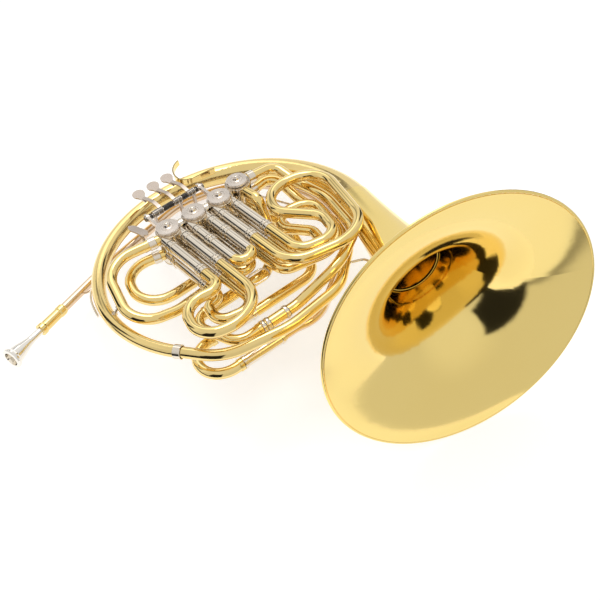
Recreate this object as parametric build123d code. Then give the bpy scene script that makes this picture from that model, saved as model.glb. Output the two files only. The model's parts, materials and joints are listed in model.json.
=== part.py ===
from build123d import *
import os
from math import atan, cos, degrees, pi, radians, sin, sqrt

# A double french horn with four rotary valves, in millimetres.
# Everything is laid out in the horn's own plan frame: the centre of the bell mouth at (0, 0, 0), +X out of
# the bell along its axis, and +Z square to the plane of the coil, on the side of the valve caps.
# At the end the horn is tilted by LIE_TILT, so that it lies on the bell's rim and the back of its coil.

# ---- driving dimensions -------------------------------------------------------------------------------
BELL_R = 155.0              # mouth of the bell
FLARE_OFFSET = 29.0         # the bell's radius falls as (offset / (offset + distance)) ** power
FLARE_POWER = 0.9
FLARE_LENGTH = 120.0        # the spun flare ends at a seam ring, where the tail begins
BELL_SHEET = 0.9
RIM_WIRE_R = 1.7
TAIL_LENGTH = 251.0         # from the mouth to where the coil starts to bend
COIL_R = 158.0
COIL_CENTRE = (-251.0, -159.0)
BRANCH_SWEEP = 227.0        # degrees of coil between the tail and the ferrule
BRANCH_WALL = 0.8
TUBE_R = 6.35               # outer radius of the cylindrical tubing
TUBE_BORE_R = 5.75
SLEEVE_R = 6.75             # nickel-silver outer slide sleeves
SLEEVE_BORE_R = 6.1
SLIDE_FIT = 0.05            # radial clearance of an inner slide leg in its sleeve
RING_R = 7.5                # ferrules
Z_F = 30.0                  # storey of the long F slides
Z_B = 8.0                   # storey of the short B flat slides
Z_RETURN = -7.0             # return tubes that cross under both storeys
Z_PIPE = -22.0              # leadpipe
Z_MAIN = -25.0              # main tuning slide
Z_SECOND = -10.0            # B flat tuning slide
LIE_TILT = 17.6

# ---- valve frame: U along the slides, V along the row of valves ------------------------------------------
VALVE_ANGLE = 13.5
VALVE_ONE = (-292.0, -215.0)
VALVE_PITCH = 36.4
CHANGE_VALVE = (-8.4, 104.8)    # (u, v) of the thumb's change valve
PAIR_HALF = 10.5                # half the spacing of a slide's two legs
CASING_R = 15.0
CASING_BORE_R = 13.05
CASING_LOW = -6.0
CASING_HIGH = 37.0
CAP_R = 14.0
ROTOR_R = 13.0
SPINDLE_R = 3.0
STOP_R = 10.0                   # radius of a stop arm's pin
CHANGE_STOP_R = 7.0
LINK_Z = -21.0
LINK_THICK = 2.5
PIN_R = 1.5
PIN_PLAY = 0.8                  # clearance of the open pivots in the links

# ---- levers ----------------------------------------------------------------------------------------------
HINGE_U = -48.0
HINGE_Z = 28.0
HINGE_R = 2.0
HUB_R = 4.3
SPRING_R = 3.9
LEVER_PRESS = 16.5              # degrees from rest to pressed
LEVER_HUBS = (18.0, 38.5, 58.5)
PADDLE_U = -91.0
PADDLE_V = (14.4, 35.2, 55.4)
PADDLE_Z = 31.0
THUMB_U = -27.0
THUMB_Z = 4.0
THUMB_PRESS = 22.8
ROTOR_TURN = 90.0

U = Vector(cos(radians(VALVE_ANGLE)), sin(radians(VALVE_ANGLE)), 0)
V = Vector(-sin(radians(VALVE_ANGLE)), cos(radians(VALVE_ANGLE)), 0)
ORIGIN_UV = Vector(VALVE_ONE[0], VALVE_ONE[1], 0)
ROTORS = [(0.0, 0.0), (0.0, VALVE_PITCH), (0.0, 2 * VALVE_PITCH), CHANGE_VALVE]

nodes = {}


# ---- helpers -------------------------------------------------------------------------------------------
def uv(u, v, z):
    """A point given in the valve frame."""
    return ORIGIN_UV + U * u + V * v + Vector(0, 0, z)


def uv_plane(u, v, z):
    """A work plane at a point of the valve frame, with its X along U and its Y along V."""
    return Plane(origin=uv(u, v, z), x_dir=U, z_dir=(0, 0, 1))


def bell_radius(distance):
    """Outer radius of bell and branch at a distance along the bore from the mouth."""
    return BELL_R * (FLARE_OFFSET / (FLARE_OFFSET + distance)) ** FLARE_POWER


def coil_point(angle):
    return Vector(COIL_CENTRE[0] + COIL_R * cos(radians(angle)), COIL_CENTRE[1] + COIL_R * sin(radians(angle)), 0)


def route(points, radii):
    """Straight runs joined by tangent arcs. With no corner it is one straight run."""
    if len(points) == 2:
        return Wire([Edge.make_line(points[0], points[1])])
    line = FilletPolyline(*points, radius=radii)
    return Wire(line.edges())


def end_plane(path, at=0.0):
    return Plane(origin=path @ at, z_dir=path % at)


def swept(points, radii, outer, inner=0.0):
    """A round tube, or a rod when it has no bore, along a route."""
    path = route(points, radii)
    section = end_plane(path) * Circle(outer)
    solid = sweep(section, path=path)
    if inner > 0:
        solid = solid - sweep(end_plane(path) * Circle(inner), path=path)
    return solid


def straight_tube(start, end, outer, inner=0.0):
    return swept([start, end], [], outer, inner)


def ring_at(point, direction, length, outer, inner):
    """A ferrule: a short ring whose ends are chamfered."""
    plane = Plane(origin=point, z_dir=direction)
    ring = Cylinder(outer, length)
    ring = chamfer(ring.edges().filter_by(GeomType.CIRCLE), 0.4)
    return plane * (ring - Cylinder(inner, length * 2))


# ---- bell, tail and coil -----------------------------------------------------------------------------------
def flare_profile():
    """The section of the flare's sheet, in the plane of the bell's axis."""
    steps = (0.0, 4.0, 10.0, 20.0, 36.0, 60.0, 90.0, FLARE_LENGTH)
    outer = [(-s, bell_radius(s)) for s in steps]
    inner = []
    for s in steps:
        slope = FLARE_POWER * bell_radius(s) / (FLARE_OFFSET + s)
        norm = sqrt(1 + slope * slope)
        inner.append((-s + BELL_SHEET * slope / norm, bell_radius(s) - BELL_SHEET / norm))
    return make_face([
        Spline(*outer),
        Line(outer[-1], inner[-1]),
        Spline(*reversed(inner)),
        Line(inner[0], outer[0]),
    ])


def flare():
    """The spun bell flare, a sheet turned about the bell's axis."""
    return revolve(flare_profile(), Axis.X)


def rim_wire():
    """The rolled bead outside the edge of the bell's mouth."""
    bead = Pos(-0.9, BELL_R + RIM_WIRE_R - 0.2) * Circle(RIM_WIRE_R)
    return revolve(bead - flare_profile(), Axis.X)


def seam_ring():
    """The raised ring inside the throat, where flare and tail are joined."""
    r = bell_radius(FLARE_LENGTH) - BELL_SHEET
    ring = Rot(0, 90, 0) * (Cylinder(r - 0.02, 3.0) - Cylinder(r - 0.9, 6.0))
    return Pos(-FLARE_LENGTH + 4.0, 0, 0) * ring


def tail():
    """The straight tapering tail, turned about the bell's axis."""
    steps = (FLARE_LENGTH, 150.0, 185.0, 220.0, TAIL_LENGTH)
    outer = [(-s, bell_radius(s)) for s in steps]
    inner = [(-s, bell_radius(s) - BRANCH_WALL) for s in steps]
    profile = make_face([
        Spline(*outer),
        Line(outer[-1], inner[-1]),
        Spline(*reversed(inner)),
        Line(inner[0], outer[0]),
    ])
    return revolve(profile, Axis.X)


def coil_body(wall=0.0):
    """The tapering branch round the coil as a solid, thinner by a wall all round."""
    stations = 13
    rounds = []
    for i in range(stations):
        turn = BRANCH_SWEEP * i / (stations - 1)
        along = TAIL_LENGTH + COIL_R * radians(turn)
        angle = 90 + turn
        tangent = (-sin(radians(angle)), cos(radians(angle)), 0)
        plane = Plane(origin=coil_point(angle), x_dir=(0, 0, 1), z_dir=tangent)
        rounds.append(plane * Circle(bell_radius(along) - wall))
    return loft(rounds)


def coil():
    """The tapering branch round the coil, from the tail to the ferrule."""
    return coil_body() - coil_body(BRANCH_WALL)


BRANCH_END = 90 + BRANCH_SWEEP
BRANCH_END_R = bell_radius(TAIL_LENGTH + COIL_R * radians(BRANCH_SWEEP))
BRANCH_TANGENT = Vector(-sin(radians(BRANCH_END)), cos(radians(BRANCH_END)), 0)
FERRULE_LENGTH = 9.0


def first_branch():
    """From the ferrule up the right side and back to the change valve's lower port."""
    start = coil_point(BRANCH_END) + BRANCH_TANGENT * 0.2
    points = [
        start,
        start + BRANCH_TANGENT * 52,
        (-101, -150, 0),
        (-130, -78, -3),
        (-192, -38, -7),
        (-240, -34, -7),
        (-300, -52, -5),
        (-350, -65, 8),
        uv(CHANGE_VALVE[0] - 5, CHANGE_VALVE[1] + 8, Z_B),
    ]
    return swept(points, [60, 90, 60, 50, 60, 60, 16], TUBE_R + 0.1, TUBE_BORE_R) - casing_solids()


# ---- valves --------------------------------------------------------------------------------------------------
def casing_solids():
    """The space that the casings and their plates take, for trimming tubes to them."""
    height = CASING_HIGH - CASING_LOW
    blocks = []
    for u, v in ROTORS:
        blocks.append(uv_plane(u, v, CASING_LOW + height / 2) * Cylinder(CASING_R, height))
    return Compound(blocks)


def casing(index):
    """One valve casing: a bored cylinder with a bottom bearing plate and its ports."""
    u, v = ROTORS[index]
    height = CASING_HIGH - CASING_LOW
    body = uv_plane(u, v, CASING_LOW + height / 2) * Cylinder(CASING_R, height)
    bore = uv_plane(u, v, CASING_LOW + 2 + height / 2) * Cylinder(CASING_BORE_R, height)
    spindle = uv_plane(u, v, CASING_LOW) * Cylinder(SPINDLE_R + SLIDE_FIT, 10)
    body = body - bore - spindle
    for z in (Z_F, Z_B):
        for side in (-1, 1):
            leg = Plane(origin=uv(u, v + side * PAIR_HALF, z), z_dir=U)
            body = body - leg * Pos(0, 0, CASING_R) * Cylinder(2.5, 2 * CASING_R)
    return body


def rotor(index):
    """The turning plug, with two air passages in each storey and its spindle."""
    u, v = ROTORS[index]
    low = CASING_LOW + 2.3
    high = CASING_HIGH - 3.0
    plug = uv_plane(u, v, (low + high) / 2) * Cylinder(ROTOR_R, high - low)
    for z in (Z_F - 1.5, Z_B):
        for offset in (-6.6, 6.6):
            lane = Plane(origin=uv(u + offset, v, z), z_dir=V)
            plug = plug - lane * Cylinder(TUBE_BORE_R - 0.6, 3 * ROTOR_R)
    stem = uv_plane(u, v, (low - 14) / 2 + 0.5) * Cylinder(SPINDLE_R, low + 15)
    return plug + uv_plane(u, v, low - 7.0) * Cylinder(SPINDLE_R, 16.0)


def stop_arm(index):
    """The arm on a rotor's spindle, with the pin that the link drives."""
    u, v = ROTORS[index]
    radius = CHANGE_STOP_R if index == 3 else STOP_R
    side = PIN_SIDE[index]
    angle = 90 * side + 45 * side
    top = CASING_LOW - 5.5
    plane = uv_plane(u, v, top - 1.5) * Rot(0, 0, angle)
    hub = Cylinder(5.2, 3.0)
    arm = Pos(radius / 2, 0, 0) * Box(radius, 4.4, 3.0)
    eye = Pos(radius, 0, 0) * Cylinder(2.8, 3.0)
    pin = Pos(radius, 0, -5.4) * Cylinder(PIN_R, 8.0)
    return plane * ((hub + arm + eye - Cylinder(SPINDLE_R, 4.0)) + pin)


def cap(index):
    """A screwed valve cap with its turned cone and centre screw."""
    u, v = ROTORS[index]
    r = CAP_R - 1.0 if index == 3 else CAP_R
    outline = Polyline(
        (0, 0), (r - 1.0, 0), (r, 1.0), (r, 3.6), (r - 0.6, 4.2), (6.0, 4.4), (4.6, 5.0), (3.6, 7.6), (2.6, 8.2),
        (0, 8.2), (0, 0),
    )
    turned = revolve(make_face(Plane.XZ * outline), Axis.Z)
    return uv_plane(u, v, CASING_HIGH) * turned


def knuckles(z):
    """Short tubes between neighbouring casings on one storey."""
    tubes = []
    for lower, upper in ((0, 1), (1, 2), (2, 3)):
        start = uv(ROTORS[lower][0] - 4, ROTORS[lower][1] + 9, z)
        end = uv(ROTORS[upper][0] - (4 if upper < 3 else 0), ROTORS[upper][1] - 9, z)
        tubes.append(straight_tube(start, end, TUBE_R, TUBE_BORE_R) - casing_solids())
    return tubes


# ---- valve slides ---------------------------------------------------------------------------------------------
def leg(index, side, along, z):
    """A point on a slide leg of a finger valve."""
    return uv(ROTORS[index][0] + along, ROTORS[index][1] + side * PAIR_HALF, z)


def sleeves(index, z, end, ring_at_u):
    """The two fixed outer sleeves of a valve slide, with their rings."""
    solids = []
    for side in (-1, 1):
        tube = straight_tube(leg(index, side, 8, z), leg(index, side, end, z), SLEEVE_R, SLEEVE_BORE_R)
        tube = tube - casing_solids()
        for u in ring_at_u:
            tube = tube + ring_at(leg(index, side, u, z), U, 4.0, RING_R, SLEEVE_R - 0.3)
        solids.append(tube)
    return solids


def slide(index, z, end, depth, corners, radii):
    """A valve slide: two inner legs, two stop collars and the bow between them."""
    first = leg(index, 1, end + 0.3, z)
    last = leg(index, -1, end + 0.3, z)
    points = [first] + [c if isinstance(c, Vector) else Vector(c[0], c[1], z) for c in corners] + [last]
    bow = swept(points, radii, TUBE_R, TUBE_BORE_R)
    for side in (-1, 1):
        inner = straight_tube(leg(index, side, end - depth, z), leg(index, side, end + 5, z),
                              SLEEVE_BORE_R - SLIDE_FIT, TUBE_BORE_R)
        bow = bow + inner
        collar = leg(index, side, end + 2.8, z)
        bow = bow + ring_at(collar, U, 5.0, RING_R - 0.2, TUBE_BORE_R)
    return bow


def on_leg(index, side, x, z):
    """The point of a slide leg's line at a given plan X."""
    base = leg(index, side, 0, z)
    along = (x - base.X) / U.X
    return leg(index, side, along, z)


F_SLEEVE_END = (86.0, 51.0, 80.0)
B_SLEEVE_END = (84.0, 60.0, 74.0)
SLIDE_DEPTH = 44.0


def f_slide(index):
    if index == 0:
        corners = [
            on_leg(0, 1, -106, Z_F), (-106, -244.5), (-167, -244.5), on_leg(0, -1, -169, Z_F),
        ]
        return slide(0, Z_F, F_SLEEVE_END[0], SLIDE_DEPTH, corners, [44, 27, 28, 13])
    if index == 1:
        corners = [leg(1, 1, 106.5, Z_F), leg(1, -1, 106.5, Z_F)]
        return slide(1, Z_F, F_SLEEVE_END[1], 26.0, corners, [10.4, 10.4])
    right = -158.5
    inner = -173.2
    corners = [
        on_leg(2, 1, inner, Z_F), (inner, -54.5), (-214.5, -54.5), (-251, -95), (-298, -95), (-298, -20),
        (right, -20), on_leg(2, -1, right, Z_F),
    ]
    bow = slide(2, Z_F, F_SLEEVE_END[2], SLIDE_DEPTH, corners, [20, 20, 25, 23, 34, 36, 45, 34])
    tie = Pos((right + inner) / 2, -67, Z_F) * Rot(0, 90, 0) * Cylinder(2.4, right - inner - 2 * TUBE_R + 0.6)
    return bow + tie


def b_slide(index):
    if index == 0:
        corners = [
            on_leg(0, 1, -143, Z_B), (-143, -216), (-173, -216), on_leg(0, -1, -182, Z_B),
        ]
        return slide(0, Z_B, B_SLEEVE_END[0], SLIDE_DEPTH, corners, [18, 16, 9, 9])
    if index == 1:
        corners = [leg(1, 1, 97, Z_B), leg(1, -1, 97, Z_B)]
        return slide(1, Z_B, B_SLEEVE_END[1], 34.0, corners, [10.4, 10.4])
    right = -178.0
    inner = -193.0
    corners = [
        on_leg(2, 1, inner, Z_B), (inner, -67), (-221, -67), (-246, -93), (-274, -93), (-274, -43.5),
        (right, -43.5), on_leg(2, -1, right, Z_B),
    ]
    return slide(2, Z_B, B_SLEEVE_END[2], SLIDE_DEPTH, corners, [13, 13, 14, 12, 22, 22, 36, 16])


def pull_ring():
    """The wire loop for pulling the middle B flat slide."""
    centre = uv(ROTORS[1][0] + 117.5, ROTORS[1][1] + 2, Z_B)
    half_u, half_v = 9.0, 13.0
    corners = [(half_u, half_v), (-half_u, half_v), (-half_u, -half_v), (half_u, -half_v)]
    points = [centre + U * half_u] + [centre + U * a + V * b for a, b in corners] + [centre + U * half_u + V * -0.01]
    return swept(points, [8, 8, 8, 8], 1.1)


# ---- loops and tubes that join the valves ------------------------------------------------------------------------
def outer_loop():
    """From valve one's F storey round the outside, under the slides and up to the change valve."""
    points = [
        uv(2, -8, Z_F),
        (-288, -299, 27),
        (-186, -299, 12),
        (-197, -245, 0),
        (-218, -205, Z_RETURN),
        (-257, -128, Z_RETURN),
        (-270, -105, -2),
        (-288, -104, Z_F),
        uv(CHANGE_VALVE[0] + 9, CHANGE_VALVE[1], Z_F),
    ]
    return swept(points, [36, 30, 60, 60, 20, 11, 11], TUBE_R, TUBE_BORE_R) - casing_solids()


def inner_loop():
    """From valve one's B flat storey round the inside and under to the B flat tuning slide."""
    points = [
        uv(2, -8, Z_B),
        (-291, -280, 7),
        (-219, -279, 3),
        (-228, -240, -3),
        (-243, -207, -9),
        (-262, -160, -21),
        (-257, -100, -21),
        SECOND_LEG_TWO + V * 88,
        SECOND_LEG_TWO + V * 60.2,
    ]
    return swept(points, [30, 27, 40, 60, 60, 16, 14], TUBE_R, TUBE_BORE_R) - casing_solids()


# Tuning slides run along V. A foot is where a leg's bow begins.
MAIN_LEG_ONE = Vector(-103.3, -217.6, Z_MAIN)
MAIN_SPAN = 55.0
MAIN_LEG_TWO = MAIN_LEG_ONE - U * MAIN_SPAN
SECOND_LEG_ONE = Vector(-125.5, -183.0, Z_SECOND)
SECOND_SPAN = 68.0
SECOND_LEG_TWO = SECOND_LEG_ONE - U * SECOND_SPAN - V * 26


def tuning_sleeves(feet, length, rings):
    """Outer sleeves of a tuning slide, with their rings."""
    solids = []
    for foot in feet:
        tube = straight_tube(foot + V * 8, foot + V * (8 + length), SLEEVE_R, SLEEVE_BORE_R)
        for along in rings:
            tube = tube + ring_at(foot + V * (8 + along), V, 4.0, RING_R, SLEEVE_R - 0.3)
        solids.append(tube)
    return solids


def tuning_slide(feet, depth, corners, radii):
    """Inner legs, stop collars and bow of a tuning slide."""
    points = [feet[0] + V * 7.7] + corners + [feet[1] + V * 7.7]
    bow = swept(points, radii, TUBE_R, TUBE_BORE_R)
    for foot in feet:
        bow = bow + straight_tube(foot + V * 3, foot + V * (8 + depth), SLEEVE_BORE_R - SLIDE_FIT, TUBE_BORE_R)
        bow = bow + ring_at(foot + V * 5.2, V, 5.0, RING_R - 0.2, TUBE_BORE_R)
    return bow


def main_slide():
    drop = MAIN_SPAN / 2
    corners = [MAIN_LEG_ONE - V * drop, MAIN_LEG_TWO - V * drop]
    return tuning_slide([MAIN_LEG_ONE, MAIN_LEG_TWO], 40, corners, [26.5, 26.5])


def second_slide():
    corners = [SECOND_LEG_ONE - V * 22, SECOND_LEG_TWO - V * 18]
    return tuning_slide([SECOND_LEG_ONE, SECOND_LEG_TWO], 34, corners, [20, 18])


def second_feed():
    """From the change valve's upper port over the inside of the tail to the B flat tuning slide."""
    points = [
        uv(CHANGE_VALVE[0] - 5, CHANGE_VALVE[1] + 8, Z_F),
        (-343, -62, 25),
        (-312, -48, 14),
        (-262, -28.5, 12),
        (-190, -27.5, 13),
        (-146, -68, 14),
        SECOND_LEG_ONE + V * 58,
        SECOND_LEG_ONE + V * 44.2,
    ]
    return swept(points, [16, 60, 90, 40, 45, 40], TUBE_R, TUBE_BORE_R) - casing_solids()


def main_feed():
    """From the main tuning slide under the slides to the change valve's lower port."""
    points = [
        MAIN_LEG_TWO + V * 64.2,
        MAIN_LEG_TWO + V * 152,
        (-283, -80, -20),
        (-299, -106, Z_B),
        uv(CHANGE_VALVE[0] + 9, CHANGE_VALVE[1], Z_B),
    ]
    return swept(points, [26, 12, 9], TUBE_R, TUBE_BORE_R) - casing_solids()


# ---- leadpipe and mouthpiece -----------------------------------------------------------------------------------------
PIPE_CORNER = Vector(-350, -290, Z_PIPE)
MOUTH_CUP = Vector(-259, -434, Z_PIPE)
MOUTH_DIR = (PIPE_CORNER - MOUTH_CUP).normalized()
RECEIVER_AT = 50.0
RECEIVER_LENGTH = 40.0
SHANK_AT = 68.0
PIPE_R = 5.6
PIPE_BORE_R = 5.0


def leadpipe():
    """The slender pipe from the receiver round under the coil."""
    points = [
        MOUTH_CUP + MOUTH_DIR * (RECEIVER_AT + RECEIVER_LENGTH - 10),
        PIPE_CORNER,
        (-407, -177, Z_PIPE),
        (-407, -24, Z_PIPE),
        (-215, -24, Z_PIPE),
        (-121, -112, -24),
        MAIN_LEG_ONE + V * 80,
        MAIN_LEG_ONE + V * 64.2,
    ]
    return swept(points, [150, 90, 128, 60, 40, 40], PIPE_R, PIPE_BORE_R)


def receiver():
    """The tapered sleeve that takes the mouthpiece."""
    profile = Polyline((4.55, 0), (7.4, 0), (7.4, 5), (6.6, 7), (6.3, 30), (7.0, 32), (7.0, 38), (6.2, 40), (5.65, 40),
                       (5.65, 29.9), (4.55, 29.9), (4.55, 0))
    turned = revolve(make_face(Plane.XZ * profile), Axis.Z)
    return Plane(origin=MOUTH_CUP + MOUTH_DIR * RECEIVER_AT, z_dir=MOUTH_DIR) * turned


def mouthpiece():
    """A turned mouthpiece: rim, funnel cup, throat and shank."""
    outside = [(8.8, 0), (12.6, 0.3), (13.3, 2.0), (12.9, 4.0), (11.0, 6.5), (10.2, 10), (9.0, 16), (7.0, 24), (5.4, 31)]
    shank = [(4.9, 37), (4.5, 50), (4.5, SHANK_AT)]
    bore = [(3.2, SHANK_AT), (2.3, 36), (4.0, 24), (7.6, 8)]
    outline = Polyline(*(outside + shank + bore + [outside[0]]))
    turned = revolve(make_face(Plane.XZ * outline), Axis.Z)
    return Plane(origin=MOUTH_CUP, z_dir=MOUTH_DIR) * turned


# ---- braces --------------------------------------------------------------------------------------------------------
def strut(a, b, touching, radius=1.8, foot_r=3.4):
    """A straight brace with a round foot at each end, cut to the solid tubes that it touches."""
    a, b = Vector(*a), Vector(*b)
    along = (b - a).normalized()
    brace = straight_tube(a, b, radius)
    for end, way in ((a, along), (b, along * -1)):
        brace = brace + straight_tube(end - way * 1.2, end + way * 1.2, foot_r)
    for tube in touching:
        brace = brace - tube
    return brace


def wire(points, radius=1.5):
    """A bent wire brace that lies along the tubes it holds."""
    path = Wire([Spline(*points)])
    return sweep(end_plane(path) * Circle(radius), path=path)


def coil_braces():
    """Braces from the coil and the tail to the tubes inside it, and from the leadpipe to the coil."""
    coil_solid = coil_body()
    loop_run = straight_tube((-288, -299, 27), (-186, -299, 12), TUBE_R)
    pipe_side = straight_tube((-403.0, -118.2, Z_PIPE), (-394.6, -95.8, Z_PIPE), PIPE_R + 0.06)
    first_run = straight_tube((-240, -34, -7), (-300, -52, -5), TUBE_R + 0.1)
    return [
        strut((-227.4, -310.0, 5.8), (-226.5, -303.2, 13.3), [coil_solid, loop_run]),
        strut((-394.2, -107.7, -20.5), (-289, -55.4, -8.0), [pipe_side, first_run], 1.5, 2.6),
        wire([(-161.3, -49.6, -5.3), (-159.2, -43, -5), (-156, -36.4, -4.5), (-151, -33.6, -4), (-144.5, -33.2, -4)]),
        wire([(-317.6, -329.2, -22), (-307, -322.5, -14), (-297, -321.4, -6), (-284, -325.2, -4.2), (-268.5, -327.2, -3.5),
              (-245.2, -327, -3)], 1.4),
    ]


def port_ferrules():
    """Rings where the loops and branches meet the first and the last casing."""
    upper_start, upper_next = uv(2, -8, Z_F), Vector(-288, -299, 27)
    lower_start, lower_next = uv(2, -8, Z_B), Vector(-291, -280, 7)
    high_start, high_next = uv(CHANGE_VALVE[0] - 5, CHANGE_VALVE[1] + 8, Z_F), Vector(-343, -62, 25)
    low_start, low_next = uv(CHANGE_VALVE[0] - 5, CHANGE_VALVE[1] + 8, Z_B), Vector(-350, -65, 8)
    rings = []
    for start, after, away, r in (
        (upper_start, upper_next, 15.5, TUBE_R), (lower_start, lower_next, 15.5, TUBE_R),
        (high_start, high_next, 13.0, TUBE_R), (low_start, low_next, 13.0, TUBE_R + 0.1),
    ):
        along = (after - start).normalized()
        rings.append(ring_at(start + along * away, along, 9.0, r + 1.3, r + 0.02))
    return rings


# ---- levers and linkage ------------------------------------------------------------------------------------------------
PIN_SIDE = (1, 1, -1, 1)


def pin_v(index):
    """Where, along V, the link of a valve runs: the middle of its stop pin's sideways swing."""
    radius = CHANGE_STOP_R if index == 3 else STOP_R
    return ROTORS[index][1] + PIN_SIDE[index] * radius * (1 + cos(radians(45))) / 2


LEVER_ARM = HINGE_Z - LINK_Z
THUMB_ARM = THUMB_Z - LINK_Z


def uz_plane(v):
    """A plane square to V, with its X along U and its Y up, whose origin has u and z of nought."""
    return Plane(origin=uv(0, v, 0), x_dir=U, z_dir=-V)


def finger_lever(index):
    """Paddle, curved arm, hub and the lower arm that pushes the link."""
    hub_v = LEVER_HUBS[index]
    arm_v = pin_v(index)
    low, high = min(hub_v, arm_v) - 2.0, max(hub_v, arm_v) + 2.0
    hub = Plane(origin=uv(HINGE_U, (low + high) / 2, HINGE_Z), z_dir=V) * Cylinder(HUB_R, high - low)
    half = radians(LEVER_PRESS / 2)
    foot = (HINGE_U - LEVER_ARM * sin(half), HINGE_Z - LEVER_ARM * cos(half) - 3.0)
    lower = uz_plane(arm_v) * Polyline((HINGE_U - 2.4, HINGE_Z), (foot[0] - 1.4, foot[1]), (foot[0] + 1.4, foot[1]),
                                       (HINGE_U + 2.4, HINGE_Z), (HINGE_U - 2.4, HINGE_Z))
    lower = extrude(make_face(lower), 1.5, both=True)
    paddle_v = PADDLE_V[index]
    neck_path = route([uv(HINGE_U - 1, hub_v, HINGE_Z + 2.6), uv(HINGE_U - 12, hub_v, HINGE_Z + 6.2),
                       uv(PADDLE_U + 10, paddle_v, PADDLE_Z + 0.6)], [40])
    section = Plane(origin=neck_path @ 0, x_dir=V, z_dir=neck_path % 0) * Rectangle(4.6, 1.9)
    neck = sweep(section, path=neck_path)
    blade = uv_plane(PADDLE_U, paddle_v, PADDLE_Z) * Rot(0, 4, 0) * extrude(paddle_outline(), 0.9, both=True)
    lever = hub + lower + neck + blade
    bore = Plane(origin=uv(HINGE_U, (low + high) / 2, HINGE_Z), z_dir=V) * Cylinder(HINGE_R + SLIDE_FIT, high - low + 2)
    return lever - bore


def paddle_outline():
    """A spatula, round at its tip and narrowing to its neck."""
    tip = CenterArc((-2, 0), 7.8, 60, 240)
    neck = 2.6
    a, b = tip @ 0, tip @ 1
    return make_face([tip, Spline(b, (6, -4.2), (17, -neck)), Line((17, -neck), (17, neck)), Spline((17, neck), (6, 4.2), a)])


def thumb_lever():
    """The thumb's spoon, its post, the long shaft behind the valves and the far arm."""
    near, far = -25.0, pin_v(3) + 2.0
    shaft = Plane(origin=uv(THUMB_U, (near + far) / 2, THUMB_Z), z_dir=V) * Cylinder(2.4, far - near)
    post = swept([uv(THUMB_U, near + 3.0, THUMB_Z), uv(THUMB_U, near + 3.0, 22), uv(THUMB_U - 6, near + 1.5, 30)], [8], 1.9)
    outline = Spline((-15, 0), (-9, 4.3), (0, 4.6), (16, 2.2), (17.5, 0), (16, -2.2), (0, -4.6), (-9, -4.3), (-15, 0))
    blade = uv_plane(THUMB_U - 8, near + 2.0, 30.5) * Rot(0, 0, 15) * extrude(make_face(outline), 0.9, both=True)
    half = radians(THUMB_PRESS / 2)
    foot = (THUMB_U - THUMB_ARM * sin(half), THUMB_Z - THUMB_ARM * cos(half) - 3.0)
    arm = uz_plane(pin_v(3)) * Polyline((THUMB_U - 2.2, THUMB_Z), (foot[0] - 1.3, foot[1]), (foot[0] + 1.3, foot[1]),
                                        (THUMB_U + 2.2, THUMB_Z), (THUMB_U - 2.2, THUMB_Z))
    return shaft + post + blade + extrude(make_face(arm), 1.5, both=True)


def link(index):
    """A flat link with a window for the lever's foot and a cross slot for the stop arm's pin."""
    radius = CHANGE_STOP_R if index == 3 else STOP_R
    hinge_u, arm, press = (THUMB_U, THUMB_ARM, THUMB_PRESS) if index == 3 else (HINGE_U, LEVER_ARM, LEVER_PRESS)
    foot_u = hinge_u - arm * sin(radians(press / 2))
    pin_u = ROTORS[index][0] - radius * sin(radians(45))
    swing = radius * (1 - cos(radians(45)))
    slot_v = swing + 2 * (PIN_R + PIN_PLAY)
    bar = Pos((foot_u + pin_u) / 2, 0, 0) * Box(pin_u - foot_u, 5.0, LINK_THICK)
    head = Pos(pin_u, 0, 0) * Box(2 * (PIN_R + PIN_PLAY) + 4.0, slot_v + 4.0, LINK_THICK)
    tail_end = Pos(foot_u, 0, 0) * Box(10.0, 8.4, LINK_THICK)
    window = Pos(foot_u, 0, 0) * Box(2 * (1.6 + PIN_PLAY), 3.0 + 2 * 0.7, 6.0)
    slot = Pos(pin_u, 0, 0) * Box(2 * (PIN_R + PIN_PLAY), slot_v, 6.0)
    shape = bar + head + tail_end - window - slot
    return uv_plane(0, pin_v(index), LINK_Z) * shape


def hinge_rod():
    low, high = -4.0, 78.0
    return Plane(origin=uv(HINGE_U, (low + high) / 2, HINGE_Z), z_dir=V) * Cylinder(HINGE_R, high - low)


def hinge_brackets():
    """Arms from the casings that carry the hinge rod's ends and the thumb's shaft."""
    arms = []
    for u, v in ROTORS[:3]:
        block = uv_plane((THUMB_U - CASING_R) / 2, v, THUMB_Z) * Box(CASING_R - THUMB_U - 21, 4.0, 6.0)
        eye = Plane(origin=uv(THUMB_U, v, THUMB_Z), z_dir=V) * Cylinder(4.0, 4.0)
        bore = Plane(origin=uv(THUMB_U, v, THUMB_Z), z_dir=V) * Cylinder(2.4 + SLIDE_FIT, 8)
        arms.append(block + eye - bore - casing_solids())
    for v, casing_v in ((-1.0, 0.0), (74.0, 2 * VALVE_PITCH)):
        bar = uv_plane((HINGE_U - CASING_R) / 2, v, HINGE_Z) * Box(-HINGE_U - CASING_R + 12, 3.6, 5.0)
        eye = Plane(origin=uv(HINGE_U, v, HINGE_Z), z_dir=V) * Cylinder(4.4, 3.6)
        bore = Plane(origin=uv(HINGE_U, v, HINGE_Z), z_dir=V) * Cylinder(HINGE_R, 8)
        arms.append(bar + eye - bore - casing_solids())
    return arms


def springs():
    """The return springs' outer shapes, round the hinge rod between the lever hubs."""
    spans = []
    edges = []
    for i in range(3):
        edges.append((min(LEVER_HUBS[i], pin_v(i)) - 2.4, max(LEVER_HUBS[i], pin_v(i)) + 2.4))
    starts = [1.2] + [e[1] for e in edges]
    ends = [e[0] for e in edges] + [71.8]
    for low, high in zip(starts, ends):
        spans.append(Plane(origin=uv(HINGE_U, (low + high) / 2, HINGE_Z), z_dir=V)
                     * (Cylinder(SPRING_R, high - low) - Cylinder(HINGE_R, high - low + 1)))
    return spans


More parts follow.
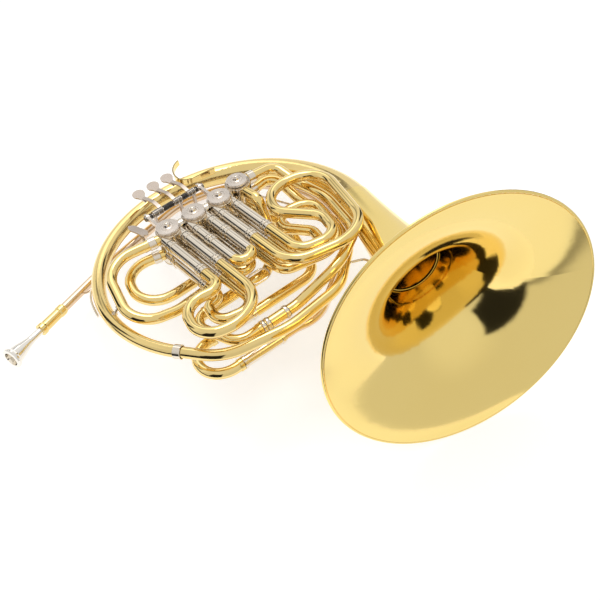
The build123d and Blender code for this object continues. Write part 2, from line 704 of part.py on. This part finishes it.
def pinky_hook():
    """The curled finger hook beside the coil: a strip on edge, with the foot that is soldered to the coil."""
    base, height = 9.5, 7.0
    curve = Spline((-397, -122), (-397, -138), (-396, -152), (-401, -164), (-415, -169), (-433, -165), (-443, -155))
    strip = extrude(trace(curve, 1.7), height)
    return Pos(0, 0, base) * strip - coil_body()


def group(solids):
    return Compound(list(solids))


# ---- all nodes ----------------------------------------------------------------------------------------------------
def build():
    nodes["bell_flare"] = flare()
    nodes["bell_rim_wire"] = rim_wire()
    nodes["bell_tail"] = tail() + seam_ring()
    nodes["bell_branch"] = coil()
    ferrule_at = coil_point(BRANCH_END) - BRANCH_TANGENT * 0.0
    nodes["branch_ferrule"] = ring_at(ferrule_at, BRANCH_TANGENT, FERRULE_LENGTH, BRANCH_END_R + 1.2, BRANCH_END_R + 0.14)
    nodes["first_branch"] = first_branch()
    nodes["leadpipe"] = leadpipe()
    nodes["mouthpiece_receiver"] = receiver()
    nodes["mouthpiece"] = mouthpiece()
    for i in range(4):
        nodes[f"valve_casing_{i + 1}"] = casing(i)
        nodes[f"rotor_{i + 1}"] = rotor(i)
        nodes[f"stop_arm_{i + 1}"] = stop_arm(i)
        nodes[f"link_{i + 1}"] = link(i)
    nodes["valve_caps"] = group(cap(i) for i in range(4))
    nodes["knuckles_f"] = group(knuckles(Z_F))
    nodes["knuckles_b_flat"] = group(knuckles(Z_B))
    for i in range(3):
        nodes[f"f_sleeves_{i + 1}"] = group(sleeves(i, Z_F, F_SLEEVE_END[i], (26.0, F_SLEEVE_END[i] - 2.0)))
        nodes[f"b_flat_sleeves_{i + 1}"] = group(sleeves(i, Z_B, B_SLEEVE_END[i], (26.0, B_SLEEVE_END[i] - 2.0)))
        nodes[f"f_slide_{i + 1}"] = f_slide(i)
        nodes[f"b_flat_slide_{i + 1}"] = b_slide(i)
        nodes[f"finger_lever_{i + 1}"] = finger_lever(i)
    nodes["pull_ring"] = pull_ring()
    nodes["outer_loop"] = outer_loop()
    nodes["inner_loop"] = inner_loop()
    nodes["main_sleeves"] = group(tuning_sleeves([MAIN_LEG_ONE, MAIN_LEG_TWO], 56, (2, 52)))
    nodes["main_slide"] = main_slide()
    nodes["main_feed"] = main_feed()
    nodes["second_sleeves"] = group(tuning_sleeves([SECOND_LEG_ONE], 36, (2, 8, 33))
                                    + tuning_sleeves([SECOND_LEG_TWO], 52, (2, 8, 49)))
    nodes["second_slide"] = second_slide()
    nodes["second_feed"] = second_feed()
    nodes["thumb_lever"] = thumb_lever()
    nodes["hinge_rod"] = hinge_rod()
    nodes["hinge_brackets"] = group(hinge_brackets())
    nodes["lever_springs"] = group(springs())
    nodes["pinky_hook"] = pinky_hook()
    nodes["coil_braces"] = group(coil_braces())
    nodes["port_ferrules"] = group(port_ferrules())


def placing():
    """Tilts the horn onto its rim and its back, with the origin under the middle of its box."""
    tilt = Rot(0, -LIE_TILT, 0)
    box = (tilt * Compound([Compound(shape.solids()) for shape in nodes.values()])).bounding_box()
    middle = box.center()
    return Pos(-middle.X, -middle.Y, -box.min.Z) * tilt


if __name__ == "__main__":
    os.makedirs("parts", exist_ok=True)
    build()
    place = placing()
    for name, shape in nodes.items():
        export_step(place * shape, f"parts/{name}.step")
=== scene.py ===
"""Studio scene for the double horn: metals, small fittings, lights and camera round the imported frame."""

import json
import math

import bpy
from mathutils import Matrix, Vector

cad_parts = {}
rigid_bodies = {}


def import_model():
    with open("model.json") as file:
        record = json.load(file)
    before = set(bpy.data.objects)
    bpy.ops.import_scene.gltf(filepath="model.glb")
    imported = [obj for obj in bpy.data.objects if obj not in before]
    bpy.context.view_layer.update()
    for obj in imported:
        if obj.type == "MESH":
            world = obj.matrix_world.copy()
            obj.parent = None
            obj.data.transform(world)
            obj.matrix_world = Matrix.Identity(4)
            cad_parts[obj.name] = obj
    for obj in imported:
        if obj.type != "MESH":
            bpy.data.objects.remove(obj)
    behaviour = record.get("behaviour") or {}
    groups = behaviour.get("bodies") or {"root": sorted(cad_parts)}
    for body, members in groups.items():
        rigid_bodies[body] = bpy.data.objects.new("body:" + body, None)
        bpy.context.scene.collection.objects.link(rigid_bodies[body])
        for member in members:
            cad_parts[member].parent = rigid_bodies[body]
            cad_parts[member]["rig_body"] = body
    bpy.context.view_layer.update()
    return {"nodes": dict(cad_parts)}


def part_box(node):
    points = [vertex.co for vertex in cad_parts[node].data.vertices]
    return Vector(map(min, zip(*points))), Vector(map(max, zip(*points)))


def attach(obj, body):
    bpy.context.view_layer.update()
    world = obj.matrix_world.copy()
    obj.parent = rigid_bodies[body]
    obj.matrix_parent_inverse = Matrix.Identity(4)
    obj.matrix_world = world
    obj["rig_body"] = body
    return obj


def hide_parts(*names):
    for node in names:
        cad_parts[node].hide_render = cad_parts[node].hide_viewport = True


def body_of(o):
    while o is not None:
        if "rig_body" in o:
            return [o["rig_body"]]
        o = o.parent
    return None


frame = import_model()
nodes = frame["nodes"]

M_PER_MM = 0.001
MM_PER_M = 1000


def sine(degrees):
    return math.sin(math.radians(degrees))


def cosine(degrees):
    return math.cos(math.radians(degrees))


# The horn's own plan frame is in millimetres, with the bell's mouth at the origin, +X out of the bell and +Z
# on the side of the valve caps. The horn lies tilted in the row frame.
LIE_TILT = 17.6
TILT = Matrix.Rotation(-math.radians(LIE_TILT), 3, "Y")
MOUTH_PAST_RIM = 0.0009  # metres from the middle of the rim wire to the plane of the mouth
rim_low, rim_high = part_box("bell_rim_wire")
MOUTH = (rim_low + rim_high) / 2 + TILT @ Vector((MOUTH_PAST_RIM, 0, 0))


def horn(x, y, z):
    """A point of the horn's plan frame, in millimetres, as a row-frame point in metres."""
    return MOUTH + TILT @ (Vector((x, y, z)) * M_PER_MM)


# The valve frame in the plan frame: U runs along the slides to their bows, V along the row of valves, and the
# origin is the first valve.
VALVE_ANGLE = 13.5
U = Vector((cosine(VALVE_ANGLE), sine(VALVE_ANGLE), 0))
V = Vector((-sine(VALVE_ANGLE), cosine(VALVE_ANGLE), 0))
UP = Vector((0, 0, 1))
FIRST_VALVE_X, FIRST_VALVE_Y = -292.0, -215.0


def uv(u, v, z):
    """A point of the plan frame, in millimetres, given in the valve frame."""
    return Vector((FIRST_VALVE_X, FIRST_VALVE_Y, z)) + U * u + V * v


# ---- materials ---------------------------------------------------------------------------------------------
TONE_DETAIL = 4.0
FINE_DETAIL = 3.0
GRAIN_PER_CLOUD = 20  # how much finer the buffed grain is than the clouds of tone
SPIN_SCALE = 900.0
RELIEF_DEPTH = 0.0001
SMOOTHEST = 0.01
MIX_A, MIX_B, MIX_OUT = 6, 7, 2  # the Mix node's colour sockets


def new_material(name):
    """An empty material: itself, its tree and its one shader."""
    material = bpy.data.materials.new(name)
    material.use_nodes = True
    tree = material.node_tree
    tree.nodes.clear()
    output = tree.nodes.new("ShaderNodeOutputMaterial")
    shader = tree.nodes.new("ShaderNodeBsdfPrincipled")
    tree.links.new(shader.outputs[0], output.inputs[0])
    return material, tree, shader


def maths(tree, operation, *values):
    """A maths node on sockets or plain numbers."""
    node = tree.nodes.new("ShaderNodeMath")
    node.operation = operation
    for place, value in enumerate(values):
        if hasattr(value, "default_value"):
            tree.links.new(value, node.inputs[place])
        else:
            node.inputs[place].default_value = value
    return node.outputs[0]


def noise(tree, scale, detail):
    """A noise texture node, which the caller links up."""
    node = tree.nodes.new("ShaderNodeTexNoise")
    node.inputs["Scale"].default_value = scale
    node.inputs["Detail"].default_value = detail
    return node


def metal(name, bright, deep, rough, rough_spread, coat=0.0, scale=60.0, bump=0.02, spin=0.0):
    """A polished metal: cloudy tone, uneven polish, a buffed grain and, on the bell, the spinning marks."""
    material, tree, shader = new_material(name)
    links = tree.links
    where = tree.nodes.new("ShaderNodeTexCoord")
    clouds = noise(tree, scale, TONE_DETAIL)
    links.new(where.outputs["Object"], clouds.inputs["Vector"])
    tone = tree.nodes.new("ShaderNodeMix")
    tone.data_type = "RGBA"
    tone.inputs[MIX_A].default_value = (*deep, 1)
    tone.inputs[MIX_B].default_value = (*bright, 1)
    links.new(clouds.outputs["Fac"], tone.inputs[0])
    links.new(tone.outputs[MIX_OUT], shader.inputs["Base Color"])
    shader.inputs["Metallic"].default_value = 1.0
    spread = tree.nodes.new("ShaderNodeMapRange")
    spread.inputs["To Min"].default_value = max(rough - rough_spread, SMOOTHEST)
    spread.inputs["To Max"].default_value = rough + rough_spread
    links.new(clouds.outputs["Fac"], spread.inputs["Value"])
    links.new(spread.outputs[0], shader.inputs["Roughness"])
    grain = noise(tree, scale * GRAIN_PER_CLOUD, FINE_DETAIL)
    links.new(where.outputs["Object"], grain.inputs["Vector"])
    height = grain.outputs["Fac"]
    if spin:
        along = tree.nodes.new("ShaderNodeVectorMath")
        along.operation = "DOT_PRODUCT"
        along.inputs[1].default_value = TILT @ Vector((1, 0, 0))
        links.new(where.outputs["Object"], along.inputs[0])
        marks = noise(tree, SPIN_SCALE, FINE_DETAIL)
        marks.noise_dimensions = "1D"
        links.new(along.outputs["Value"], marks.inputs["W"])
        height = maths(tree, "ADD", maths(tree, "MULTIPLY", marks.outputs["Fac"], spin), height)
    relief = tree.nodes.new("ShaderNodeBump")
    relief.inputs["Strength"].default_value = bump
    relief.inputs["Distance"].default_value = RELIEF_DEPTH
    links.new(height, relief.inputs["Height"])
    links.new(relief.outputs[0], shader.inputs["Normal"])
    if coat:
        shader.inputs["Coat Weight"].default_value = coat
        shader.inputs["Coat Roughness"].default_value = 0.03
        shader.inputs["Coat IOR"].default_value = 1.5
    return material


# Each metal's brighter and deeper tone, its roughness, and how far that varies.
bell_lacquer = metal(
    "bell_brass", (0.95, 0.735, 0.27), (0.93, 0.70, 0.24), 0.10, 0.02,
    coat=0.15, scale=14.0, bump=0.03, spin=2.0,
)
lacquer = metal("lacquered_brass", (0.91, 0.70, 0.30), (0.85, 0.63, 0.24), 0.06, 0.02, coat=0.15)
nickel = metal("nickel_silver", (0.86, 0.77, 0.64), (0.76, 0.68, 0.56), 0.12, 0.04)
pewter = metal("cap_nickel", (0.84, 0.75, 0.66), (0.74, 0.66, 0.58), 0.24, 0.06)
silver = metal("silver_plate", (0.90, 0.86, 0.79), (0.84, 0.80, 0.73), 0.07, 0.02)
rose = metal("rose_brass", (0.84, 0.66, 0.48), (0.78, 0.59, 0.41), 0.09, 0.03, coat=0.15)
gunmetal = metal("gunmetal", (0.30, 0.27, 0.24), (0.20, 0.18, 0.16), 0.2, 0.06)
lever_nickel = metal("lever_nickel", (0.62, 0.53, 0.46), (0.54, 0.46, 0.39), 0.26, 0.06)
# The dark spring steel also draws the thin painted-shade lines beside the slide sleeves' beads and rings.
steel_and_shade = metal("spring_steel", (0.16, 0.15, 0.14), (0.09, 0.085, 0.08), 0.3, 0.08)

# The metal of every CAD node whose name starts so. The longest start counts. The rest is lacquered brass.
LOOKS = {
    "valve_casing": nickel,
    "valve_caps": pewter,
    "rotor": nickel,
    "stop_arm": nickel,
    "link": nickel,
    "finger_lever": lever_nickel,
    "thumb_lever": lever_nickel,
    "hinge": pewter,
    "port_ferrules": nickel,
    "bell": bell_lacquer,
    "bell_branch": lacquer,
    "lever_springs": steel_and_shade,
    "f_sleeves": nickel,
    "b_flat_sleeves": nickel,
    "main_sleeves": nickel,
    "knuckles": nickel,
    "branch_ferrule": nickel,
    "mouthpiece_receiver": lacquer,
    "mouthpiece": silver,
    "pull_ring": nickel,
    "pinky_hook": lacquer,
    "coil_braces": nickel,
    "leadpipe": rose,
}


def look_of(name):
    starts = [start for start in LOOKS if name.startswith(start)]
    return LOOKS[max(starts, key=len)] if starts else lacquer


def smooth(mesh, sharp):
    """Shades a mesh smooth up to an angle in degrees."""
    for polygon in mesh.polygons:
        polygon.use_smooth = True
    mesh.set_sharp_from_angle(angle=math.radians(sharp))


CAD_SHARP, DRAWN_SHARP = 35, 38
for name, obj in nodes.items():
    obj.data.materials.clear()
    obj.data.materials.append(look_of(name))
    smooth(obj.data, CAD_SHARP)


# ---- tools for the small parts -----------------------------------------------------------------------------
# A piece under way is a pair of lists, its vertices in row-frame metres and its faces.
ROUND_SIDES, SCREW_SIDES = 48, 28
BEAD_SIDES = 12  # round the whole wire of a bead
BEAD_FROM, BEAD_TO = 8, -2  # its first and last corner, which leave out the part deep in the tube
COIL_STEPS, WIRE_SIDES = 20, 8


def body_for(node):
    return body_of(nodes[node])[0]


def mesh_piece(name, verts, faces, material, node, slot):
    """A smooth mesh piece in row-frame metres that rides on the body of a CAD node."""
    mesh = bpy.data.meshes.new(name)
    mesh.from_pydata(verts, [], faces)
    mesh.materials.append(material)
    smooth(mesh, DRAWN_SHARP)
    obj = bpy.data.objects.new(name, mesh)
    bpy.context.scene.collection.objects.link(obj)
    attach(obj, body_for(node))
    return obj


def square_to(axis):
    """An axis made one long, with two directions square to it."""
    axis = axis.normalized()
    side = axis.orthogonal().normalized()
    return axis, side, axis.cross(side)


def join_rings(faces, start, rings, sides):
    """Faces between rings of vertices that follow one another from start."""
    for row in range(rings - 1):
        for k in range(sides):
            a = start + row * sides + k
            b = start + row * sides + (k + 1) % sides
            faces.append((a, b, b + sides, a + sides))


def lathe(parts, centre, axis, profile, sides=ROUND_SIDES):
    """Adds a turned ring or button to parts: profile is (distance along the axis, radius), in millimetres."""
    verts, faces = parts
    axis, side, other = square_to(axis)
    start = len(verts)
    for along, radius in profile:
        for k in range(sides):
            angle = 2 * math.pi * k / sides
            out = side * math.cos(angle) + other * math.sin(angle)
            verts.append(horn(*(centre + axis * along + out * radius)))
    join_rings(faces, start, len(profile), sides)


def bead(parts, centre, axis, radius, wire):
    """Adds a bead round a tube: a wire sunk half into its surface."""
    turns = [2 * math.pi * k / BEAD_SIDES for k in range(BEAD_FROM, BEAD_TO - 1, -1)]
    profile = [(wire * math.cos(turn), radius + wire * math.sin(turn)) for turn in turns]
    lathe(parts, centre, axis, profile)


def coil_wire(parts, start, axis, length, radius, wire, turns):
    """Adds a close-wound spring along an axis."""
    verts, faces = parts
    axis, side, other = square_to(axis)
    first = len(verts)
    steps = int(turns * COIL_STEPS)
    for step in range(steps + 1):
        angle = 2 * math.pi * step / COIL_STEPS
        out = side * math.cos(angle) + other * math.sin(angle)
        centre = start + axis * (length * step / steps) + out * radius
        for k in range(WIRE_SIDES):
            around = 2 * math.pi * k / WIRE_SIDES
            verts.append(horn(*(centre + out * wire * math.cos(around) + axis * wire * math.sin(around))))
    join_rings(faces, first, steps + 1, WIRE_SIDES)


def nickel_up_to(node, u_limit, v_limit):
    """Gives nickel to the faces of a slide that lie below both limits in the valve frame."""
    legs = nodes[node].data
    legs.materials.append(nickel)
    start = horn(*uv(0, 0, 0))
    along, aside = TILT @ U, TILT @ V
    reach = [(vertex.co - start).dot(along) * MM_PER_M for vertex in legs.vertices]
    off = [(vertex.co - start).dot(aside) * MM_PER_M for vertex in legs.vertices]
    for polygon in legs.polygons:
        corners = polygon.vertices
        if max(reach[k] for k in corners) < u_limit and max(off[k] for k in corners) < v_limit:
            polygon.material_index = 1


# ---- valves and slides, in millimetres of the valve frame --------------------------------------------------
PITCH = 36.4
ROTORS = [(0.0, 0.0), (0.0, PITCH), (0.0, 2 * PITCH), (-8.4, 104.8)]
CHANGE = 3  # place in ROTORS of the change valve, whose cap is smaller
Z_F, Z_B = 30.0, 8.0  # the slides' upper and lower storeys

# Valve caps: milled lip lines, a turned step and a centre screw on each.
CAP_LOW = 37.0
CAP_R, CHANGE_CAP_R = 14.0, 13.0
LIP_HEIGHTS = (1.4, 2.2, 3.0)
STEP_HEIGHT, STEP_R = 4.45, 7.2
CAP_WIRE = 0.22
CAP_SCREW = [(7.6, 2.5), (8.9, 2.4), (9.3, 1.9), (9.45, 0.9), (9.45, 0.02)]
turned, screws = ([], []), ([], [])
for index, (u, v) in enumerate(ROTORS):
    base = uv(u, v, CAP_LOW)
    for height in LIP_HEIGHTS:
        bead(turned, base + UP * height, UP, CHANGE_CAP_R if index == CHANGE else CAP_R, CAP_WIRE)
    bead(turned, base + UP * STEP_HEIGHT, UP, STEP_R, CAP_WIRE)
    lathe(screws, base, UP, CAP_SCREW, SCREW_SIDES)
mesh_piece("cap_turning", *turned, pewter, "valve_caps", "nickel_silver")
mesh_piece("cap_screws", *screws, nickel, "valve_caps", "nickel_silver")

# Casings: the seam of the top plate and turned bands, as (height, wire). The change valve has no low band,
# because the thumb lever passes there.
CASING_R = 15.0
SEAM, LOW_BAND, MIDDLE_BAND = (35.6, 0.45), (-4.6, 0.5), (19.0, 0.3)
for index, (u, v) in enumerate(ROTORS):
    bands = ([], [])
    for z, wire in (SEAM, MIDDLE_BAND) if index == CHANGE else (SEAM, LOW_BAND, MIDDLE_BAND):
        bead(bands, uv(u, v, z), UP, CASING_R, wire)
    mesh_piece(f"casing_bands_{index + 1}", *bands, nickel, f"valve_casing_{index + 1}", "nickel_silver")

# Slide sleeves: beads at both edges of the mouth ring and at the root, and thin dark lines beside them, which
# are painted shade in the joins next to the beads.
SLEEVE_MOUTHS = {"f_sleeves": (Z_F, (86.0, 51.0, 80.0)), "b_flat_sleeves": (Z_B, (84.0, 60.0, 74.0))}
LEG_OFF = 10.5  # from the middle of a slide to the axis of each leg
RING_EDGES = ((0.4, 7.35), (4.6, 6.85))  # how far back from the mouth, and the radius
ROOT, ROOT_R = 19.0, 6.75
MOUTH_LINE, ROOT_LINE = 5.5, 20.0  # the first is measured back from the mouth
LINE_R = 6.72
BEAD_WIRE, LINE_WIRE = 0.4, 0.35
for start, (z, mouths) in SLEEVE_MOUTHS.items():
    for index, mouth in enumerate(mouths):
        light, shade_lines = ([], []), ([], [])
        for v in (ROTORS[index][1] - LEG_OFF, ROTORS[index][1] + LEG_OFF):
            for back, radius in RING_EDGES:
                bead(light, uv(mouth - back, v, z), U, radius, BEAD_WIRE)
            bead(light, uv(ROOT, v, z), U, ROOT_R, BEAD_WIRE)
            # Painted shade: a thin dark steel ring just past the mouth ring and just past the root bead.
            for u in (mouth - MOUTH_LINE, ROOT_LINE):
                bead(shade_lines, uv(u, v, z), U, LINE_R, LINE_WIRE)
        mesh_piece(f"{start}_beads_{index + 1}", *light, nickel, f"{start}_{index + 1}", "nickel_silver")
        mesh_piece(f"{start}_lines_{index + 1}", *shade_lines, steel_and_shade, f"{start}_{index + 1}", "nickel_silver")

# The B flat tuning slide's sleeve has nickel rings on brass, with a dark line beside each, which is painted
# shade next to the ring. Its foot is given in the plan frame, and the sleeve runs along V.
SECOND_FOOT = Vector((-125.5, -183.0, -10.0))
RING_PLACES = (10, 16, 41)
LINE_PAST_RING = 2.7
SECOND_LINE_R = 6.9
RING = [(-2.05, 6.7), (-2.05, 7.7), (-1.7, 7.9), (1.7, 7.9), (2.05, 7.7), (2.05, 6.7)]
light, shade_lines = ([], []), ([], [])
for along in RING_PLACES:
    lathe(light, SECOND_FOOT + V * along, V, RING)
    # Painted shade: a thin dark steel ring beside each nickel ring.
    bead(shade_lines, SECOND_FOOT + V * (along + LINE_PAST_RING), V, SECOND_LINE_R, LINE_WIRE)
mesh_piece("second_sleeve_rings", *light, nickel, "second_sleeves", "nickel_silver")
mesh_piece("second_sleeve_lines", *shade_lines, steel_and_shade, "second_sleeves", "nickel_silver")

# The slides' inner legs are nickel up to their bows, on the upper and the lower storey.
NICKEL_ENDS = ((92.5, 90.5), (97.0, 87.5), (86.5, 80.5))
PAST_SLIDE = 19  # from a slide's middle to beyond its far leg
for index, (upper, lower) in enumerate(NICKEL_ENDS):
    nickel_up_to(f"f_slide_{index + 1}", upper, ROTORS[index][1] + PAST_SLIDE)
    nickel_up_to(f"b_flat_slide_{index + 1}", lower, ROTORS[index][1] + PAST_SLIDE)

# ---- lever hinge: wound springs in place of the plain sleeves, screw heads, dark hubs and beads ------------
HINGE = uv(-48.0, 0, 28.0)


def along_hinge(node):
    """How far each vertex of a node lies along the hinge rod and out from it, in millimetres."""
    line = TILT @ V
    start = horn(*HINGE)
    spots = []
    for vertex in nodes[node].data.vertices:
        arm = vertex.co - start
        along = arm.dot(line)
        spots.append((along * MM_PER_M, (arm - line * along).length * MM_PER_M))
    return spots


SHORTEST_SPRING = 2.4
SPRING_GAP = 0.7  # left free at each end of a spring
SPRING_R, SPRING_WIRE, SPRING_PITCH = 3.2, 0.55, 1.35
edges = sorted({round(along, 1) for along, _ in along_hinge("lever_springs")})
coils = ([], [])
for low, high in zip(edges[0::2], edges[1::2]):
    if high - low > SHORTEST_SPRING:
        length = high - low - 2 * SPRING_GAP
        first = HINGE + V * (low + SPRING_GAP)
        coil_wire(coils, first, V, length, SPRING_R, SPRING_WIRE, length / SPRING_PITCH)
springs = mesh_piece("wound_springs", *coils, steel_and_shade, "lever_springs", "spring_steel")
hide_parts("lever_springs")

ROD_ENDS = ((-4.0, -1), (78.0, 1))  # place along the rod and the way out
ROD_SCREW = [(-2.6, 3.4), (0.6, 3.4), (1.0, 3.0), (1.0, 0.7), (0.4, 0.6), (0.4, 0.02)]
rod_screws = ([], [])
for v, way in ROD_ENDS:
    lathe(rod_screws, HINGE + V * v, V * way, ROD_SCREW, SCREW_SIDES)
mesh_piece("hinge_screws", *rod_screws, gunmetal, "hinge_rod", "nickel_silver")

HUB_DARK_R = 4.6  # faces of a lever within this distance of the rod are dark
HUB_R = 4.5
HUB_BEAD_R = 4.2
HUB_EDGE = 0.6
HUB_WIRE = 0.35
for index in range(3):
    lever = nodes[f"finger_lever_{index + 1}"]
    lever.data.materials.append(gunmetal)
    spots = along_hinge(lever.name)
    for polygon in lever.data.polygons:
        if max(spots[k][1] for k in polygon.vertices) < HUB_DARK_R:
            polygon.material_index = 1
    hub = sorted(along for along, out in spots if out < HUB_R)
    rings = ([], [])
    for along in (hub[0] + HUB_EDGE, hub[-1] - HUB_EDGE, (hub[0] + hub[-1]) / 2):
        bead(rings, HINGE + V * along, V, HUB_BEAD_R, HUB_WIRE)
    mesh_piece(f"hub_rings_{index + 1}", *rings, nickel, lever.name, "nickel_silver")

# ---- floor -------------------------------------------------------------------------------------------------
TABLE_R = 0.47
TABLE_STEP = 5  # degrees
TABLE_PLACE = (-0.02, -0.08, -0.0005)
floor_mesh = bpy.data.meshes.new("floor")
rim = [(TABLE_R * cosine(turn), TABLE_R * sine(turn), 0) for turn in range(0, 360, TABLE_STEP)]
floor_mesh.from_pydata(rim, [], [tuple(range(len(rim)))])
floor = bpy.data.objects.new("floor", floor_mesh)
bpy.context.scene.collection.objects.link(floor)
floor.location = TABLE_PLACE
paper, _, paper_shader = new_material("paper")
paper_shader.inputs["Base Color"].default_value = (0.7, 0.7, 0.7, 1)
paper_shader.inputs["Roughness"].default_value = 0.9
paper_shader.inputs["Emission Color"].default_value = (1, 1, 1, 1)
paper_shader.inputs["Emission Strength"].default_value = 0.56
floor_mesh.materials.append(paper)

# ---- the room that the metal reflects ----------------------------------------------------------------------
world = bpy.data.worlds.new("studio")
bpy.context.scene.world = world
world.use_nodes = True
sky = world.node_tree


def vector_maths(operation, source, other=None):
    """A vector maths node on a socket and, where the operation needs it, a fixed vector."""
    node = sky.nodes.new("ShaderNodeVectorMath")
    node.operation = operation
    sky.links.new(source, node.inputs[0])
    if other:
        node.inputs[1].default_value = other
    return node.outputs


def part_of(direction, axis):
    """One axis of a direction socket."""
    node = sky.nodes.new("ShaderNodeSeparateXYZ")
    sky.links.new(direction, node.inputs[0])
    return node.outputs[axis]


facing = sky.nodes.new("ShaderNodeTexCoord").outputs["Generated"]
flat = vector_maths("MULTIPLY", facing, (1, 1, 0))[0]
heading = vector_maths("NORMALIZE", flat)[0]
rise = part_of(facing, "Z")


def ramp(value, low, high):
    """0 below low, 1 above high, smooth between."""
    node = sky.nodes.new("ShaderNodeMapRange")
    node.interpolation_type = "SMOOTHSTEP"
    node.inputs["From Min"].default_value = low
    node.inputs["From Max"].default_value = high
    sky.links.new(value, node.inputs["Value"])
    return node.outputs[0]


def product(one, other):
    return maths(sky, "MULTIPLY", one, other)


def less(one, other):
    return maths(sky, "SUBTRACT", one, other)


NARROWEST = 0.5


def panel(level, azimuth, half, low, high, value, soft):
    """A soft-edged card or softbox in the room. All but the level and the value are in degrees."""
    turn = vector_maths("DOT_PRODUCT", heading, (cosine(azimuth), sine(azimuth), 0))["Value"]
    wide = ramp(turn, cosine(half + soft), cosine(max(half - soft, NARROWEST)))
    over = ramp(rise, sine(low - soft), sine(low + soft))
    under = ramp(rise, sine(high - soft), sine(high + soft))
    mask = product(wide, product(over, less(1.0, under)))
    return maths(sky, "ADD", level, product(less(value, level), mask))


ROOM_LEVEL, CEILING_GAIN = 0.72, 0.10
CEILING_FROM, CEILING_TO = 0.3, 0.9
PANELS = (  # azimuth, half width, low edge, high edge, brightness, softness
    (180, 76, -60, 44, 0.90, 5.0),  # the bright back of the room, which the straight tubes reflect
    (-52, 22, -44, 40, 0.02, 3.0),  # the dark card that the bell's inside reflects
    (-92, 30, -44, 2, 0.02, 5.0),  # and its lower part, which carries the dark patch to the left
    (165, 20, 26, 60, 1.7, 5.0),  # a softbox high at the back
    (226, 7, -60, 30, 0.03, 4.0),  # thin cards for the dark lines along the straight tubes
    (122, 6, -60, 26, 0.03, 4.0),
    (180, 22, 16, 21, 0.25, 3.0),
)
room = maths(sky, "ADD", ROOM_LEVEL, product(ramp(rise, CEILING_FROM, CEILING_TO), CEILING_GAIN))
for card in PANELS:
    room = panel(room, *card)

# The white table below the room, with a dark line along its edge. The edge lies lower on the +Y side.
TABLE_DROP, DROP_FROM, DROP_TO = 0.15, -0.6, 0.4
TABLE_EDGE, TABLE_END = -0.42, -0.40
LINE_MIDDLE, LINE_END = -0.39, -0.33
LINE_DARK = 0.7
TABLE_LEVEL = 1.03
drop = ramp(part_of(heading, "Y"), DROP_FROM, DROP_TO)
shifted = maths(sky, "ADD", rise, product(drop, TABLE_DROP))
table = less(1.0, ramp(shifted, TABLE_EDGE, TABLE_END))
table_line = less(ramp(shifted, TABLE_EDGE, LINE_MIDDLE), ramp(shifted, LINE_MIDDLE, LINE_END))
room = product(room, less(1.0, product(table_line, LINE_DARK)))
room = maths(sky, "ADD", product(room, less(1.0, table)), product(table, TABLE_LEVEL))
background = sky.nodes["Background"]
background.inputs["Color"].default_value = (1, 1, 1, 1)
sky.links.new(room, background.inputs["Strength"])

# The room's cards only light the horn: behind it, any view shows plain white paper.
PAPER_LEVEL = 1.05
paper_white = sky.nodes.new("ShaderNodeBackground")
paper_white.inputs["Color"].default_value = (1, 1, 1, 1)
paper_white.inputs["Strength"].default_value = PAPER_LEVEL
seen = sky.nodes.new("ShaderNodeLightPath")
choice = sky.nodes.new("ShaderNodeMixShader")
sky.links.new(seen.outputs["Is Camera Ray"], choice.inputs[0])
sky.links.new(background.outputs[0], choice.inputs[1])
sky.links.new(paper_white.outputs[0], choice.inputs[2])
sky.links.new(choice.outputs[0], sky.nodes["World Output"].inputs["Surface"])

# ---- key light and camera ----------------------------------------------------------------------------------
KEY_PLACE, KEY_TARGET = Vector((-1.0, 0.25, 1.7)), Vector((0, 0, 0.1))
KEY_WATTS = 5
key_data = bpy.data.lights.new("key", "AREA")
key_data.shape = "RECTANGLE"
key_data.size, key_data.size_y = 0.8, 0.6
key_data.energy = KEY_WATTS
key = bpy.data.objects.new("key", key_data)
key.location = KEY_PLACE
key.rotation_euler = (KEY_TARGET - KEY_PLACE).to_track_quat("-Z", "Y").to_euler()
bpy.context.scene.collection.objects.link(key)

# The camera's place and its own axes, in the plan frame.
CAMERA_PLACE = (761.8, -356.3, 831.2)
CAMERA_RIGHT = Vector((0.3995, 0.8990, -0.1797))
CAMERA_UP = Vector((-0.5677, 0.3965, 0.7215))
CAMERA_BACK = Vector((0.7198, -0.1862, 0.6687))
camera_data = bpy.data.cameras.new("camera")
camera_data.lens = 69.0
camera_data.sensor_width = 36.0
camera = bpy.data.objects.new("camera", camera_data)
bpy.context.scene.collection.objects.link(camera)
axes = Matrix([TILT @ axis for axis in (CAMERA_RIGHT, CAMERA_UP, CAMERA_BACK)]).transposed()
camera.matrix_world = Matrix.Translation(horn(*CAMERA_PLACE)) @ axes.to_4x4()
bpy.context.scene.camera = camera
bpy.context.scene.view_settings.view_transform = "Standard"
